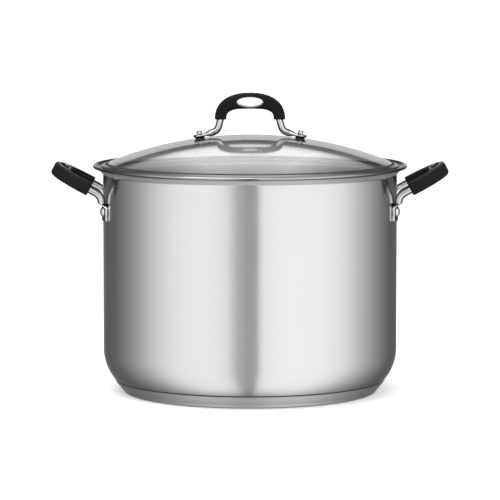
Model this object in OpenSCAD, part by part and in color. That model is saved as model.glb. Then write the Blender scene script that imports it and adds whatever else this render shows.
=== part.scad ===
// Water bath canner: riveted stainless pot with an encapsulated base, a domed
// glass lid with a steel rim band, and a lift-out wire rack with two folding bails.
// Origin: centre of the base underside. +Z up, side handles along X. Millimetres.

/* [Pot] */
// Outer radius of the straight pot wall
pot_r = 161; // [158:0.5:164]
// Sheet thickness of wall and floor
wall_t = 0.9; // [0.7:0.1:1.1]
// Height at which the rim flare starts
wall_top = 238.5; // [230:0.5:245]
// Radius of the large lower corner
corner_r = 52.4; // [48:0.2:55]
// Height of the centre of the large lower corner
corner_z = 48; // [46:0.5:50]
// Angle below horizontal at which the lower corner meets the small base corner
corner_turn = 42; // [40:0.5:44]
// Radius of the small corner between side and floor
floor_r = 10; // [9:0.5:11]
// Radius of the rolled bead at the rim
bead_r = 1.65; // [1.5:0.05:1.8]

/* [Base] */
// Sheet thickness of the base cap
cap_t = 0.7; // [0.6:0.05:0.8]
// Radius of the flat underside
foot_r = 134.5; // [130:0.5:135]

/* [Side handles] */
// Height of the rivet centres
rivet_z = 201; // [198:0.5:203]
// Angle of each rivet away from the handle direction
rivet_az = 13.8; // [13.6:0.1:14]
// Radius of the rivet shank
rivet_r = 3; // [2.5:0.1:3.2]
// Radius of the bent handle rod
rod_r = 4.3; // [3.9:0.1:4.4]
// Rise of the handle loop above horizontal, in degrees
loop_rise = 28; // [26:0.5:30]
// Bend radius of the rod where it leaves the wall
rod_bend = 12; // [11:0.5:12.5]
// Half width of the side grip
sgrip_a = 45.2; // [44.5:0.1:46]
// Reach of the side grip from its end faces to its crown
sgrip_b = 46.7; // [45.5:0.1:48]
// Thickness of the side grip
sgrip_t = 14.5; // [13:0.5:16]

/* [Lid] */
// Outer radius of the glass dome's sphere
dome_r = 420; // [415:1:430]
// Thickness of the glass
glass_t = 4; // [3.5:0.1:4.2]
// Radius of the glass edge
glass_edge = 162.7; // [162.2:0.1:163]
// Sheet thickness of the rim band
band_t = 0.6; // [0.5:0.05:0.65]

/* [Lid handle] */
// Distance of each foot from the lid's centre
lfoot_x = 54.7; // [53:0.1:56]
// Radius of the bent lid handle rod
lrod_r = 3.95; // [3.6:0.05:4]
// Lean of the legs from vertical, in degrees
lleg_lean = 15; // [13:0.5:16]
// Height of the end faces of the lid grip
lgrip_z = 298.7; // [298:0.1:300]
// Half width of the lid grip
lgrip_a = 38.6; // [38:0.1:39.5]
// Height of the lid grip from its end faces to its crown
lgrip_b = 29.1; // [28.5:0.1:30]
// Thickness of the lid grip
lgrip_t = 13; // [11:0.5:14]
// Radius of the screw shank
screw_r = 2; // [1.8:0.05:2]
// Direction of the steam vent, in degrees
vent_az = 128.9; // [110:0.1:140]
// Distance of the steam vent from the lid's centre
vent_x = 79.6; // [75:0.1:90]

/* [Rack] */
// Radius of the frame wires
wire_r = 2; // [1.8:0.05:2]
// Radius of the floor wires
grid_r = 1.6; // [1.5:0.05:1.7]
// Radius of the divider wires
div_r = 1.5; // [1.4:0.05:1.5]
// Radius of the base ring
base_ring_r = 132; // [130:0.5:133]
// Radius of the top ring
top_ring_r = 151; // [150.8:0.1:151.2]
// Height of the top ring
top_ring_z = 110; // [100:1:115]
// Radius of the ring round the middle jar
cell_ring_r = 50; // [49.8:0.1:50.5]
// Distance of the bail hinge line from the rack's centre
bail_x = 139; // [138.8:0.1:139.2]
// Length of each bail from its hinge line to its crossbar
bail_len = 75; // [60:1:78]

/* [Hidden] */
$fn = 96;

// Lower corner: a large arc (centre c1) runs into a small arc (centre c2) tangent to the floor
c1 = [pot_r - corner_r, corner_z];
c2 = [c1[0] + (corner_r - floor_r) * cos(corner_turn), c1[1] - (corner_r - floor_r) * sin(corner_turn)];
under_z = c2[1] - floor_r;
floor_z = under_z + wall_t;
// Rim: a small fillet turns the wall out to 45 degrees, up to the rolled bead
flare_r = 3;
bead_c = [pot_r + 9.4, wall_top + 9.5];
// Side handle: rod leaves the strap upright, bends and rises to the grip's end face
strap_in = pot_r + 0.1;
strap_out = pot_r + 3.1;
leg_y = 38.8;
grip_p = [pot_r + 13, wall_top - 13.5];
rod_x = sqrt(pow(pot_r + 4.9, 2) - leg_y * leg_y);
bend_end_x = rod_x + rod_bend * (1 - cos(90 - loop_rise));
bend_z = grip_p[1] - (grip_p[0] - bend_end_x) * tan(loop_rise) - rod_bend * sin(90 - loop_rise);
leg_in = 12;
// Side grip outline: superellipse arch, oval hole near the crown
sgrip_ai = sgrip_a - 12.2;
sgrip_bi = sgrip_b - 19.3;
shole_u = sgrip_b - 10.7;
shole = [6.5, 17];
// Lid: sphere centre that puts the band's lower corner just clear of the rim flare
dome_z = 249.5 + (wall_top - 238.5) - sqrt(420 * 420 - 160 * 160) - (dome_r - 420) * 0.9244;
function gt(p) = dome_z + sqrt(dome_r * dome_r - p * p);
function gb(p) = dome_z + sqrt(pow(dome_r - glass_t, 2) - p * p);
foot_tilt = asin(lfoot_x / dome_r);
// Lid handle: vertex of the bend between leg and foot, bend radius and its tangent length
lgrip_ai = lgrip_a - 12.8;
lgrip_bi = lgrip_b - 17.4;
lhole_u = lgrip_b - 9.8;
lhole = [5.5, 14.25];
lvx = 35.9;
lvz = 285;
lbend = 9;
lturn = 90 - foot_tilt - lleg_lean;
ltan = lbend * tan(lturn / 2);
lbs = [lvx + ltan * cos(foot_tilt), lvz - ltan * sin(foot_tilt)];
lbe = [lvx - ltan * sin(lleg_lean), lvz + ltan * cos(lleg_lean)];
lbc = [lbs[0] + lbend * sin(foot_tilt), lbs[1] + lbend * cos(foot_tilt)];
lfoot_q = [(dome_r + 3.45) * sin(foot_tilt) - 7 * cos(foot_tilt), 0, dome_z + (dome_r + 3.45) * cos(foot_tilt) + 7 * sin(foot_tilt)];
// Rack heights
ring_z = floor_z + 0.3 + wire_r;
grid_z = ring_z + wire_r + grid_r - 0.15;
bail_z = top_ring_z + 4.3;
eye_y = 56;
bail_y = 49.6;
bail_bend = 12;

function arc(c, r, a0, a1, n) = [for (i = [0 : n]) let (a = a0 + (a1 - a0) * i / n) [c[0] + r * cos(a), c[1] + r * sin(a)]];
// Point of a superellipse arch: u is the reach, v the half width
function sup(a, b, n, t) = [b * pow(abs(sin(t)), 2 / n), a * sign(cos(t)) * pow(abs(cos(t)), 2 / n)];
function arch(a, b, n, k) = [for (i = [0 : k]) sup(a, b, n, 180 * i / k)];
function flip(p) = [for (i = [len(p) - 1 : -1 : 0]) p[i]];
function oval(u0, ru, rv, k) = [for (i = [0 : k - 1]) [u0 + ru * cos(360 * i / k), rv * sin(360 * i / k)]];
// Rectangle with rounded corners: half sizes hx, hy and corner radius r
function rrect(x0, x1, hy, r) = concat(arc([x1 - r, hy - r], r, 0, 90, 5), arc([x0 + r, hy - r], r, 90, 180, 5),
  arc([x0 + r, r - hy], r, 180, 270, 5), arc([x1 - r, r - hy], r, 270, 360, 5));

module ring(R, r, z) { translate([0, 0, z]) rotate_extrude() translate([R, 0]) circle(r, $fn = 24); }
// Straight round bar from p to q, tapered if a second radius is given
module rod(p, q, r, rq = 0) {
  d = q - p;
  translate(p) rotate([0, acos(d[2] / norm(d)), atan2(d[1], d[0])])
    cylinder(r1 = r, r2 = rq > 0 ? rq : r, h = norm(d), $fn = 32);
}
// Bend in the XZ plane from angle a0 to a1; each end runs a little over the bar it joins
module bend(R, r, a0, a1) rotate([90, 0, 0]) rotate([0, 0, a0 - 1.5])
  rotate_extrude(angle = a1 - a0 + 3) translate([R, 0]) circle(r + 0.02, $fn = 32);
module tube(ro, ri, z0, z1) {
  translate([0, 0, z0]) difference() {
    cylinder(r = ro, h = z1 - z0, $fn = 48);
    translate([0, 0, -1]) cylinder(r = ri, h = z1 - z0 + 2, $fn = 48);
  }
}
// Local frame on the dome: z = 0 is the glass surface, +z its outward normal
module on_dome(x) { translate([0, 0, dome_z]) rotate([0, asin(x / dome_r), 0]) translate([0, 0, dome_r]) children(); }
module at_feet() { for (a = [0, 180]) rotate([0, 0, a]) on_dome(lfoot_x) children(); }
module at_vent() { rotate([0, 0, vent_az]) on_dome(vent_x) children(); }
// Local frame on the wall at each rivet of the right side: +x points outward
module at_rivets() { for (s = [-1, 1]) rotate([0, 0, s * rivet_az]) translate([0, 0, rivet_z]) children(); }

// ---------- pot ----------
module pot_shell() color([0.78, 0.78, 0.79]) {
  difference() {
    union() {
      rotate_extrude() polygon(concat(
        [[0, under_z]], arc(c2, floor_r, -90, -corner_turn, 6), arc(c1, corner_r, -corner_turn, 0, 12),
        arc([pot_r + flare_r, wall_top], flare_r, 180, 135, 4), [bead_c + [-0.9, 0.1]],
        [bead_c + [-bead_r, bead_r] * 0.68],
        arc([pot_r + flare_r, wall_top], flare_r + wall_t, 135, 180, 4), arc(c1, corner_r - wall_t, 0, -corner_turn, 12),
        arc(c2, floor_r - wall_t, -corner_turn, -90, 6), [[0, floor_z]]));
      ring(bead_c[0], bead_r, bead_c[1]);
    }
    for (a = [0, 180]) rotate([0, 0, a]) at_rivets()
      translate([pot_r - 5, 0, 0]) rotate([0, 90, 0]) cylinder(r = rivet_r + 0.05, h = 10, $fn = 32);
  }
}
module base_core() color([0.7, 0.71, 0.72])
  rotate_extrude() polygon(concat([[0, cap_t + 0.05], [foot_r - 0.1, cap_t + 0.05], [foot_r + 1.7, cap_t + 0.45],
    [foot_r + 2.7, cap_t + 1.3], [foot_r + 3.3, cap_t + 2.5], [c2[0] + 4.5, under_z + 0.65]],
    arc(c2, floor_r + 0.05, -65, -90, 3), [[0, under_z - 0.05]]));
module base_cap() color([0.72, 0.72, 0.73])
  rotate_extrude() polygon([[0, 0], [foot_r + 1.5, 0], [foot_r + 3.4, 0.35], [foot_r + 4.9, 1.4], [foot_r + 5.9, 3],
    [c2[0] + 8.64, under_z + 3.97], [c2[0] + 8.26, under_z + 4.09], [foot_r + 5.1, cap_t + 2.7], [foot_r + 4.2, cap_t + 1.2],
    [foot_r + 2.9, cap_t + 0.35], [foot_r + 1.5, cap_t], [0, cap_t]]);

// ---------- side handles ----------
module handle_frame() color([0.8, 0.8, 0.81]) {
  difference() {
    union() for (s = [-1, 1]) {
      // strap that hugs the wall
      intersection() {
        rotate([0, 0, s * rivet_az]) translate([pot_r - 10, 0, rivet_z]) rotate([0, 90, 0])
          linear_extrude(24) polygon(rrect(-7.7, 10.6, 10, 3));
        tube(strap_out, strap_in, rivet_z - 20, rivet_z + 20);
      }
      // shoulder from flat strap to round rod
      translate([rod_x, s * leg_y, rivet_z + 6.3]) cylinder(r1 = rod_r - 1.2, r2 = rod_r, h = 2.2, $fn = 32);
      translate([rod_x, s * leg_y, rivet_z + 8.5]) cylinder(r = rod_r, h = bend_z - rivet_z - 8.5, $fn = 32);
      // bend and rising leg
      translate([rod_x + rod_bend, s * leg_y, bend_z]) bend(rod_bend, rod_r, 90 + loop_rise, 180);
      rod([bend_end_x, s * leg_y, grip_p[1] - (grip_p[0] - bend_end_x) * tan(loop_rise)],
        [grip_p[0] + leg_in * cos(loop_rise), s * leg_y, grip_p[1] + leg_in * sin(loop_rise)], rod_r);
    }
    at_rivets() translate([pot_r - 5, 0, 0]) rotate([0, 90, 0]) cylinder(r = rivet_r + 0.05, h = 9.5, $fn = 32);
  }
}
module loop_frame() { translate([grip_p[0], 0, grip_p[1]]) rotate([0, -loop_rise, 0]) children(); }
module arch_solid(a, b, ai, bi, th) {
  translate([0, 0, -th / 2]) linear_extrude(th) polygon(concat(arch(a, b, 2.3, 40), flip(arch(ai, bi, 3.2, 32))));
}
module oval_solid(u, ru, rv, th) { translate([0, 0, -th / 2]) linear_extrude(th) polygon(oval(u, ru, rv, 40)); }
module handle_grip() color([0.07, 0.07, 0.08]) loop_frame() difference() {
  arch_solid(sgrip_a, sgrip_b, sgrip_ai, sgrip_bi, sgrip_t);
  oval_solid(shole_u, shole[0], shole[1], sgrip_t + 2);
  for (s = [-1, 1]) translate([-1, s * leg_y, 0]) rotate([0, 90, 0]) cylinder(r = rod_r + 0.05, h = leg_in + 1.1, $fn = 32);
}
module grip_ring() color([0.85, 0.85, 0.86]) loop_frame() difference() {
  oval_solid(shole_u, shole[0] - 0.05, shole[1] - 0.05, sgrip_t - 0.2);
  oval_solid(shole_u, shole[0] - 0.65, shole[1] - 0.65, sgrip_t + 2);
}
module handle_rivets() color([0.84, 0.84, 0.85]) at_rivets() rotate([0, 90, 0]) rotate_extrude() polygon(concat(
  arc([0, pot_r - wall_t + 9.18], 10.83, -90, -59.5, 4), [[rivet_r, pot_r - wall_t - 0.15], [rivet_r, strap_out + 0.05]],
  arc([0, strap_out - 3.6], 7.15, 30.7, 90, 8)));
module left_handle_frame() rotate([0, 0, 180]) handle_frame();
module left_handle_grip() rotate([0, 0, 180]) handle_grip();
module left_grip_ring() rotate([0, 0, 180]) grip_ring();
module left_handle_rivets() rotate([0, 0, 180]) handle_rivets();
module right_handle_frame() handle_frame();
module right_handle_grip() handle_grip();
module right_grip_ring() grip_ring();
module right_handle_rivets() handle_rivets();

// ---------- lid ----------
module lid_glass() color([0.82, 0.88, 0.87, 0.45]) difference() {
  intersection() {
    translate([0, 0, dome_z]) sphere(dome_r, $fn = 360);
    translate([0, 0, dome_z + dome_r - 60]) cylinder(r = glass_edge, h = 80, $fn = 180);
  }
  translate([0, 0, dome_z]) sphere(dome_r - glass_t, $fn = 360);
  at_feet() translate([0, 0, -8]) cylinder(r = screw_r + 1, h = 12, $fn = 32);
  at_vent() translate([0, 0, -8]) cylinder(r = 3, h = 12, $fn = 32);
}
module lid_rim_band() color([0.8, 0.8, 0.81]) rotate_extrude() polygon(concat(
  [for (p = [155.4, 157.6, 159.6, 161.6, glass_edge - 0.5]) [p, gt(p) + 0.05 + band_t]],
  [[glass_edge + 0.4, gt(glass_edge) + 0.15], [glass_edge + 0.1 + band_t, gt(glass_edge) - 0.5],
   [glass_edge + 0.1 + band_t, gb(glass_edge) - 0.15], [glass_edge + 0.35, gb(glass_edge) - 0.5]],
  [for (p = [glass_edge - 0.4, 162, 160.2, 158.4]) [p, gb(p) - 0.05 - band_t]],
  [for (p = [158.4, 160.2, 162, glass_edge + 0.05]) [p, gb(p) - 0.05]],
  [for (p = [glass_edge + 0.05, 161.6, 159.6, 157.6, 155.4]) [p, gt(p) + 0.05]]));
module lid_handle_frame() color([0.82, 0.82, 0.83]) difference() {
  union() for (a = [0, 180]) rotate([0, 0, a]) {
    on_dome(lfoot_x) translate([0, 0, 2.2]) cylinder(r = 7, h = 2.5, $fn = 48);
    on_dome(lfoot_x) translate([0, 0, 2.2]) linear_extrude(2.5) polygon([[-11, -3], [-2, -6.6], [-2, 6.6], [-11, 3]]);
    rod([lbs[0], 0, lbs[1]], lfoot_q, lrod_r, 1.2);
    translate([lbc[0], 0, lbc[1]]) bend(lbend, lrod_r, 180 + lleg_lean, 180 + lleg_lean + lturn);
    rod([lbe[0], 0, lbe[1]], [lbe[0] - (lgrip_z + 9.5 - lbe[1]) * tan(lleg_lean), 0, lgrip_z + 9.5], lrod_r);
  }
  at_feet() cylinder(r = screw_r + 0.1, h = 10, $fn = 32);
}
module lid_grip_frame() { translate([0, 0, lgrip_z]) rotate([0, 0, 90]) rotate([0, -90, 0]) children(); }
module lid_handle_grip() color([0.07, 0.07, 0.08]) difference() {
  lid_grip_frame() difference() {
    arch_solid(lgrip_a, lgrip_b, lgrip_ai, lgrip_bi, lgrip_t);
    oval_solid(lhole_u, lhole[0], lhole[1], lgrip_t + 2);
  }
  for (a = [0, 180]) rotate([0, 0, a])
    rod([lbe[0], 0, lbe[1]], [lbe[0] - (lgrip_z + 9.6 - lbe[1]) * tan(lleg_lean), 0, lgrip_z + 9.6], lrod_r + 0.05);
}
module lid_grip_ring() color([0.85, 0.85, 0.86]) lid_grip_frame() difference() {
  oval_solid(lhole_u, lhole[0] - 0.05, lhole[1] - 0.05, lgrip_t - 0.2);
  oval_solid(lhole_u, lhole[0] - 0.65, lhole[1] - 0.65, lgrip_t + 2);
}
module lid_handle_nuts() color([0.84, 0.84, 0.85]) at_feet() difference() {
  translate([0, 0, 4.75]) cylinder(r = 3, h = 4.2, $fn = 48);
  translate([0, 0, 4]) cylinder(r = screw_r + 0.05, h = 4.1, $fn = 32);
}
module lid_handle_screws() color([0.75, 0.75, 0.76]) at_feet() {
  translate([0, 0, -glass_t - 1.7]) cylinder(r = screw_r, h = glass_t + 9.4, $fn = 32);
  difference() {
    translate([0, 0, -glass_t - 4.2]) cylinder(r = 4.3, h = 2.5, $fn = 48);
    translate([-3, -0.5, -glass_t - 5]) cube([6, 1, 2]);
  }
}
module lid_handle_gaskets() color([0.05, 0.05, 0.05]) at_feet() tube(7.2, screw_r + 0.3, 0.03, 2.15);
module lid_handle_bushes() color([0.05, 0.05, 0.05]) at_feet() {
  tube(6.5, screw_r + 0.15, -glass_t - 1.6, -glass_t - 0.08);
  tube(screw_r + 0.9, screw_r + 0.15, -glass_t - 0.5, -0.1);
}
module vent_grommet() color([0.85, 0.85, 0.86]) at_vent() {
  tube(5, 1.6, 0.08, 0.9);
  tube(2.9, 1.6, -glass_t - 0.5, 0.5);
  tube(4.6, 1.6, -glass_t - 0.9, -glass_t - 0.1);
}

// ---------- rack ----------
module rack_base_ring() color([0.8, 0.8, 0.8]) ring(base_ring_r, wire_r, ring_z);
module rack_floor_grid() color([0.8, 0.8, 0.8]) {
  for (r = [16, 54, 94]) ring(r, grid_r, grid_z - 2 * grid_r + 0.15);
  for (a = [0 : 60 : 300]) rotate([0, 0, a]) rod([14.5, 0, grid_z], [base_ring_r + 1.5, 0, grid_z], grid_r);
}
module rack_uprights() color([0.8, 0.8, 0.8]) for (a = [0 : 60 : 300]) rotate([0, 0, a])
  rod([base_ring_r + 3.6, 0, ring_z - 1.5], [top_ring_r - 3.6, 0, top_ring_z + 2], wire_r);
module rack_top_ring() color([0.8, 0.8, 0.8]) ring(top_ring_r, wire_r, top_ring_z);
module rack_cell_ring() color([0.8, 0.8, 0.8]) ring(cell_ring_r, div_r, top_ring_z);
module rack_dividers() color([0.8, 0.8, 0.8]) for (a = [0 : 60 : 300]) rotate([0, 0, a])
  rod([cell_ring_r + 1.3, 0, top_ring_z], [top_ring_r - 1.7, 0, top_ring_z], div_r);
module rack_bail_eyes() color([0.8, 0.8, 0.8]) for (sx = [-1, 1], sy = [-1, 1])
  translate([sx * bail_x, sy * eye_y, bail_z]) rotate([90, 0, 0]) tube(3.6, wire_r + 0.05, -3, 3);
// Bail at rest: hinge pins along Y at -bail_x, legs running towards +X
module bail() {
  x1 = bail_len - bail_x;
  translate([0, 0, bail_z]) {
    for (s = [-1, 1]) {
      rod([-bail_x, s * (bail_y + 3.2), 0], [-bail_x, s * (eye_y + 4.3), 0], wire_r);
      translate([3.2 - bail_x, s * (bail_y + 3.2), 0]) rotate([0, 0, s > 0 ? 180 : 90])
        rotate_extrude(angle = 90) translate([3.2, 0]) circle(wire_r, $fn = 24);
      rod([3.2 - bail_x, s * bail_y, 0], [x1 - bail_bend, s * bail_y, 0], wire_r);
      translate([x1 - bail_bend, s * (bail_y - bail_bend), 0]) rotate([0, 0, s > 0 ? 0 : 270])
        rotate_extrude(angle = 90) translate([bail_bend, 0]) circle(wire_r, $fn = 24);
    }
    rod([x1, bail_bend - bail_y, 0], [x1, bail_y - bail_bend, 0], wire_r);
  }
}
module left_rack_bail() color([0.83, 0.83, 0.84]) bail();
module right_rack_bail() color([0.83, 0.83, 0.84]) rotate([0, 0, 180]) bail();

pot_shell();
base_core();
base_cap();
left_handle_frame();
left_handle_grip();
left_grip_ring();
left_handle_rivets();
right_handle_frame();
right_handle_grip();
right_grip_ring();
right_handle_rivets();
lid_glass();
lid_rim_band();
lid_handle_frame();
lid_handle_grip();
lid_grip_ring();
lid_handle_nuts();
lid_handle_screws();
lid_handle_gaskets();
lid_handle_bushes();
vent_grommet();
rack_base_ring();
rack_floor_grid();
rack_uprights();
rack_top_ring();
rack_cell_ring();
rack_dividers();
rack_bail_eyes();
left_rack_bail();
right_rack_bail();
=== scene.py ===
import math
import bpy
import bmesh
from mathutils import Vector, Matrix


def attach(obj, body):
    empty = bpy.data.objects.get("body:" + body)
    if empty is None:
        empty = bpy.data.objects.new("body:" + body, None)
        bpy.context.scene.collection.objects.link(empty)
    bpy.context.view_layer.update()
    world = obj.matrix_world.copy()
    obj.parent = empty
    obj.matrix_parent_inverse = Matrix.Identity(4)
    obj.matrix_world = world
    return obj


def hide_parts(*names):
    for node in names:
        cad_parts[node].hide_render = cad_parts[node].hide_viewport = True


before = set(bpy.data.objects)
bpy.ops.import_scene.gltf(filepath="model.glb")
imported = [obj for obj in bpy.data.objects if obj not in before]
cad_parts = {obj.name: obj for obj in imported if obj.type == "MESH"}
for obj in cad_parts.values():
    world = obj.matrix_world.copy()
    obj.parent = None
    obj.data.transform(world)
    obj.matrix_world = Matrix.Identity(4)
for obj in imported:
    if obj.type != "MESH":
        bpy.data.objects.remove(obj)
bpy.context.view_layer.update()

MM = 0.001
sin, cos, rad = math.sin, math.cos, math.radians


# ------------------------------------------------------------------ materials
def new_mat(name):
    m = bpy.data.materials.new(name)
    m.use_nodes = True
    nt = m.node_tree
    nt.nodes.clear()
    out = nt.nodes.new("ShaderNodeOutputMaterial")
    b = nt.nodes.new("ShaderNodeBsdfPrincipled")
    nt.links.new(b.outputs[0], out.inputs[0])
    return m, nt, b


def node(nt, kind, **kw):
    n = nt.nodes.new(kind)
    for k, v in kw.items():
        if k.startswith("i_"):
            n.inputs[k[2:].replace("_", " ")].default_value = v
        else:
            setattr(n, k, v)
    return n


def math_node(nt, op, a, b=None):
    n = nt.nodes.new("ShaderNodeMath")
    n.operation = op
    for i, v in enumerate((a, b)):
        if v is None:
            continue
        if isinstance(v, (int, float)):
            n.inputs[i].default_value = v
        else:
            nt.links.new(v, n.inputs[i])
    return n.outputs[0]


def ramp(nt, fac, stops):
    r = nt.nodes.new("ShaderNodeValToRGB")
    el = r.color_ramp.elements
    while len(el) > 1:
        el.remove(el[-1])
    el[0].position = stops[0][0]
    el[0].color = (*stops[0][1], 1)
    for p, c in stops[1:]:
        e = el.new(p)
        e.color = (*c, 1)
    nt.links.new(fac, r.inputs[0])
    return r.outputs[0]


def noise(nt, vec, scale, detail=3.0, rough=0.5):
    n = node(nt, "ShaderNodeTexNoise")
    n.inputs["Scale"].default_value = scale
    n.inputs["Detail"].default_value = detail
    n.inputs["Roughness"].default_value = rough
    nt.links.new(vec, n.inputs["Vector"])
    return n.outputs["Fac"]


def map_range(nt, v, a, b, lo=0.3, hi=0.7):
    n = nt.nodes.new("ShaderNodeMapRange")
    nt.links.new(v, n.inputs["Value"])
    n.inputs["From Min"].default_value = lo
    n.inputs["From Max"].default_value = hi
    n.inputs["To Min"].default_value = a
    n.inputs["To Max"].default_value = b
    return n.outputs["Result"]


def bump(nt, b, h, strength, dist):
    n = nt.nodes.new("ShaderNodeBump")
    n.inputs["Strength"].default_value = strength
    n.inputs["Distance"].default_value = dist
    nt.links.new(h, n.inputs["Height"])
    nt.links.new(n.outputs[0], b.inputs["Normal"])


def brushed(name, base, spread, r0, r1, aniso, lines=2600.0, wrap=5.0, depth=0.00002):
    """Satin steel brushed round the Z axis: fine circumferential lines, blurred up and down."""
    m, nt, b = new_mat(name)
    tc = node(nt, "ShaderNodeTexCoord")
    sep = node(nt, "ShaderNodeSeparateXYZ")
    nt.links.new(tc.outputs["Object"], sep.inputs[0])
    flat = node(nt, "ShaderNodeCombineXYZ")
    nt.links.new(sep.outputs[0], flat.inputs[0])
    nt.links.new(sep.outputs[1], flat.inputs[1])
    unit = node(nt, "ShaderNodeVectorMath", operation="NORMALIZE")
    nt.links.new(flat.outputs[0], unit.inputs[0])
    rlen = node(nt, "ShaderNodeVectorMath", operation="LENGTH")
    nt.links.new(flat.outputs[0], rlen.inputs[0])
    wrapv = node(nt, "ShaderNodeVectorMath", operation="SCALE")
    wrapv.inputs["Scale"].default_value = wrap
    nt.links.new(unit.outputs[0], wrapv.inputs[0])
    s2 = node(nt, "ShaderNodeSeparateXYZ")
    nt.links.new(wrapv.outputs[0], s2.inputs[0])
    across = math_node(nt, "ADD", sep.outputs[2], rlen.outputs["Value"])
    fine = math_node(nt, "MULTIPLY", across, lines)
    comb = node(nt, "ShaderNodeCombineXYZ")
    nt.links.new(s2.outputs[0], comb.inputs[0])
    nt.links.new(s2.outputs[1], comb.inputs[1])
    nt.links.new(fine, comb.inputs[2])
    lines_n = noise(nt, comb.outputs[0], 1.0, 4.0, 0.6)
    cloud = noise(nt, tc.outputs["Object"], 14.0, 4.0, 0.55)
    mixed = math_node(nt, "ADD", math_node(nt, "MULTIPLY", lines_n, 0.7), math_node(nt, "MULTIPLY", cloud, 0.3))
    lo = tuple(c * (1 - spread) for c in base)
    nt.links.new(ramp(nt, mixed, [(0.3, lo), (0.7, base)]), b.inputs["Base Color"])
    nt.links.new(map_range(nt, mixed, r0, r1), b.inputs["Roughness"])
    bump(nt, b, lines_n, 0.25, depth)
    b.inputs["Metallic"].default_value = 1.0
    b.inputs["Anisotropic"].default_value = aniso
    b.inputs["Anisotropic Rotation"].default_value = 0.25
    tg = node(nt, "ShaderNodeTangent", direction_type="RADIAL", axis="Z")
    nt.links.new(tg.outputs[0], b.inputs["Tangent"])
    return m


def polished(name, base, r0, r1, scale=60.0, spread=0.06, wave=0.00004, rim=((0.0, 1.0), (0.45, 0.95), (0.72, 0.35), (1.0, 0.08))):
    """Buffed bright steel with faint smears and a slightly uneven surface, plus painted shade: the base colour darkens
    where the surface turns edge-on, as far as the rim stops say.
    """
    m, nt, b = new_mat(name)
    tc = node(nt, "ShaderNodeTexCoord")
    n1 = noise(nt, tc.outputs["Object"], scale, 4.0, 0.6)
    n2 = noise(nt, tc.outputs["Object"], scale * 9, 3.0, 0.6)
    mixed = math_node(nt, "ADD", math_node(nt, "MULTIPLY", n1, 0.65), math_node(nt, "MULTIPLY", n2, 0.35))
    lo = tuple(c * (1 - spread) for c in base)
    # painted shade: the facing ramp darkens the base colour toward edges seen edge-on, standing in for dark reflections
    lw = nt.nodes.new("ShaderNodeLayerWeight")
    lw.inputs["Blend"].default_value = 0.5
    shade = ramp(nt, lw.outputs["Facing"], [(p, (v, v, v)) for p, v in rim])
    edge_shaded = nt.nodes.new("ShaderNodeMix")
    edge_shaded.data_type = "RGBA"
    edge_shaded.blend_type = "MULTIPLY"
    edge_shaded.inputs["Factor"].default_value = 1.0
    nt.links.new(ramp(nt, mixed, [(0.32, lo), (0.68, base)]), [i for i in edge_shaded.inputs if i.type == "RGBA"][0])
    nt.links.new(shade, [i for i in edge_shaded.inputs if i.type == "RGBA"][1])
    nt.links.new([o for o in edge_shaded.outputs if o.type == "RGBA"][0], b.inputs["Base Color"])
    nt.links.new(map_range(nt, mixed, r0, r1), b.inputs["Roughness"])
    bump(nt, b, n1, 0.15, wave)
    b.inputs["Metallic"].default_value = 1.0
    return m


def grained(name, dark, light, r0, r1, grain, depth, strength=0.5, spec=0.5):
    """Moulded black polymer: fine spark-eroded grain over a very faint cloud of tone."""
    m, nt, b = new_mat(name)
    tc = node(nt, "ShaderNodeTexCoord")
    g = noise(nt, tc.outputs["Object"], grain, 3.0, 0.7)
    vor = node(nt, "ShaderNodeTexVoronoi")
    vor.inputs["Scale"].default_value = grain * 0.8
    nt.links.new(tc.outputs["Object"], vor.inputs["Vector"])
    h = math_node(nt, "ADD", g, math_node(nt, "MULTIPLY", vor.outputs["Distance"], 0.5))
    cloud = noise(nt, tc.outputs["Object"], 45.0, 3.0, 0.5)
    tone = math_node(nt, "ADD", math_node(nt, "MULTIPLY", g, 0.6), math_node(nt, "MULTIPLY", cloud, 0.4))
    nt.links.new(ramp(nt, tone, [(0.35, dark), (0.68, light)]), b.inputs["Base Color"])
    nt.links.new(map_range(nt, cloud, r0, r1), b.inputs["Roughness"])
    bump(nt, b, h, strength, depth)
    b.inputs["Specular IOR Level"].default_value = spec
    return m


def glass_mat(name):
    m, nt, b = new_mat(name)
    tc = node(nt, "ShaderNodeTexCoord")
    n = noise(nt, tc.outputs["Object"], 9.0, 2.0, 0.5)
    nt.links.new(ramp(nt, n, [(0.35, (0.972, 0.972, 0.982)), (0.65, (0.984, 0.984, 0.990))]), b.inputs["Base Color"])
    b.inputs["Transmission Weight"].default_value = 1.0
    b.inputs["Roughness"].default_value = 0.0
    b.inputs["IOR"].default_value = 1.5
    return m


M_BODY = brushed("satin_steel_body", (0.84, 0.84, 0.845), 0.05, 0.19, 0.26, 0.85)
M_CAP = brushed("satin_steel_base", (0.84, 0.845, 0.85), 0.10, 0.34, 0.44, 0.55, lines=2100.0)
# inside steel: rougher, and its base colour painted a little darker than the outside as painted shade
M_INNER = brushed("satin_steel_inside", (0.80, 0.80, 0.815), 0.03, 0.48, 0.58, 0.3)
M_BRIGHT = polished("polished_steel", (0.88, 0.88, 0.885), 0.05, 0.12)
M_RING = polished("polished_eyelet_steel", (0.92, 0.92, 0.92), 0.10, 0.20, scale=140.0, rim=((0.0, 1.0), (0.8, 0.9), (1.0, 0.5)))
# band steel painted darker than the other steel, as painted shade
M_BAND = polished("band_steel_painted_shade", (0.44, 0.44, 0.445), 0.08, 0.16, scale=40.0, rim=((0.0, 1.0), (0.6, 0.8), (1.0, 0.3)))
# painted shadow: a near-black ring standing in for the shade of the gap between lid band and pot rim
M_GAP_SHADE = grained("painted_gap_shade", (0.004, 0.004, 0.004), (0.012, 0.012, 0.012), 0.35, 0.5, 600.0, 0.00003, spec=0.3)
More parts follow.
